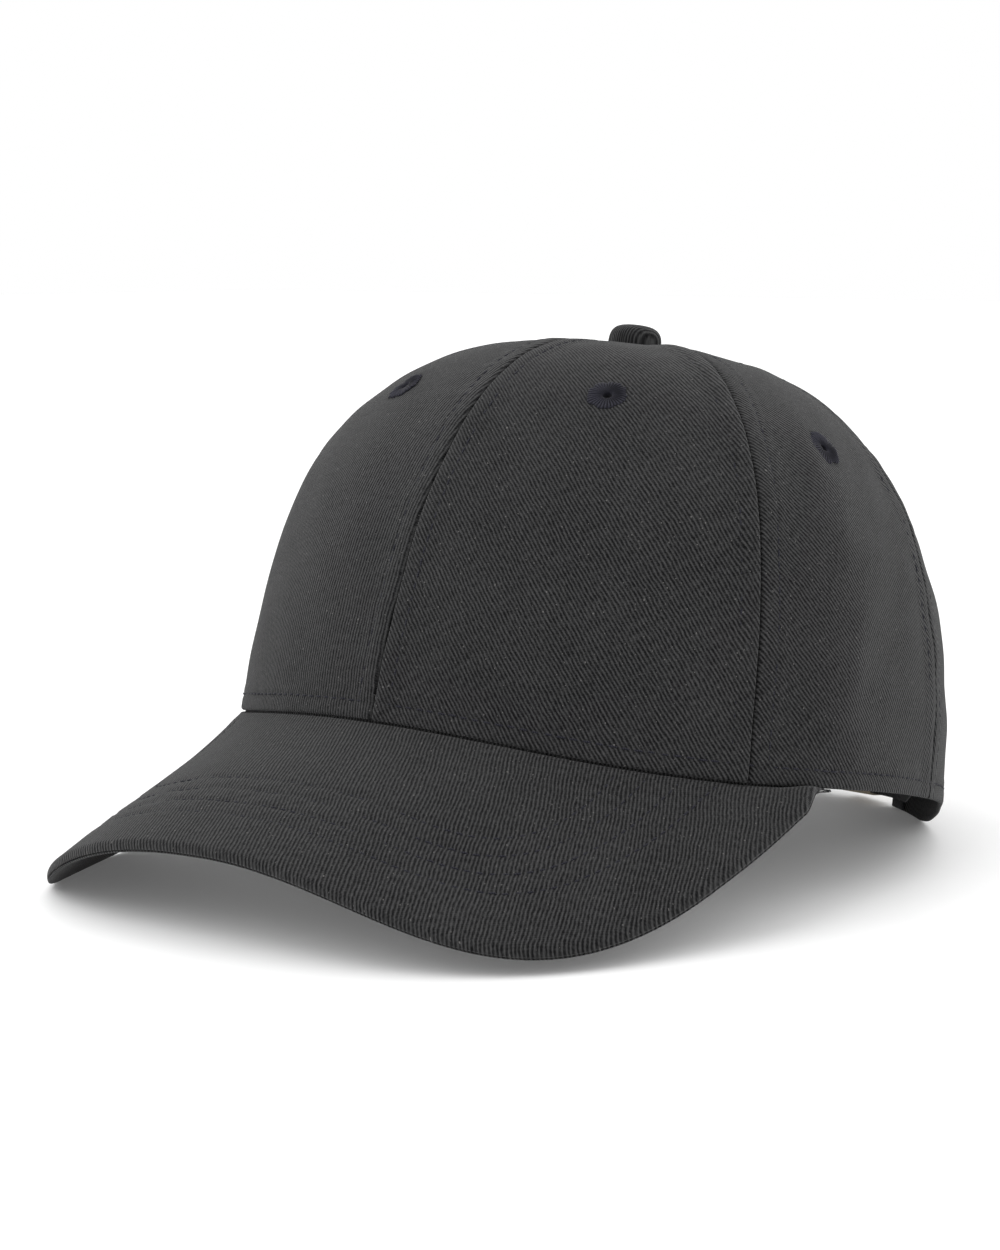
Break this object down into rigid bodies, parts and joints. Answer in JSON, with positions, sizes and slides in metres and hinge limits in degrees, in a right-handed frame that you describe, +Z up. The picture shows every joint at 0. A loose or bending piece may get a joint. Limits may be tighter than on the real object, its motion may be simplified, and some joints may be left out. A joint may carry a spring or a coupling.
{
  "type": "baseball cap",
  "caption": "Structured cloth cap with a curved visor, topstitched panels, covered top button, sewn eyelets, an inner sweatband and an adjustable strap with a flip buckle at the back.",
  "frame": {"origin": "on the table, under the middle of the whole cap", "axes": "+Z up with the cap standing on its rear hem and the visor's two ends; the visor points to -Y; the wearer's left is +X"},
  "size_m": [0.189, 0.2514, 0.1395],
  "materials": {
    "twill": "matte brushed cotton twill, charcoal",
    "buckram": "stiff open-weave buckram",
    "seam_tape": "plain-woven cotton tape, near black",
    "thread": "polyester embroidery thread, slight sheen",
    "foam": "soft non-woven padding",
    "visor_board": "moulded polyethylene sheet",
    "metal": "antique brass, brushed and darkened",
    "label": "blank woven satin label"
  },
  "bodies": {
    "crown": {"left_front_panel": "twill", "right_front_panel": "twill", "left_side_panel": "twill", "right_side_panel": "twill", "left_rear_panel": "twill", "right_rear_panel": "twill", "left_front_buckram": "buckram", "right_front_buckram": "buckram", "front_centre_tape": "seam_tape", "rear_centre_tape": "seam_tape", "left_front_tape": "seam_tape", "left_rear_tape": "seam_tape", "right_front_tape": "seam_tape", "right_rear_tape": "seam_tape", "left_front_eyelet": "thread", "right_front_eyelet": "thread", "left_side_eyelet": "thread", "right_side_eyelet": "thread", "left_rear_eyelet": "thread", "right_rear_eyelet": "thread", "button_cover": "twill", "button_shell": "metal", "button_rivet": "metal", "button_washer": "metal", "sweatband_facing": "twill", "sweatband_pad": "foam", "blank_label": "label", "rear_opening_binding": "seam_tape", "buckle_keeper_loop": "twill", "buckle_frame": "metal", "buckle_pin": "metal", "visor_top_cover": "twill", "visor_under_cover": "twill", "visor_board": "visor_board"},
    "strap": {"closure_strap": "twill"},
    "lever": {"buckle_lever": "metal"}
  },
  "joints": [
    {"name": "strap_adjust", "type": "hinge", "parent": "crown", "child": "strap", "pos_m": [0, 0.04919, 0.01411], "axis": [0, -0.1812, -0.9834], "range_deg": [-9.3, 9.3]},
    {"name": "lever_flip", "type": "hinge", "parent": "crown", "child": "lever", "pos_m": [0.02118, 0.12228, 0.01263], "axis": [-0.0297, 0.1028, 0.9943], "range_deg": [0, 100]}
  ]
}
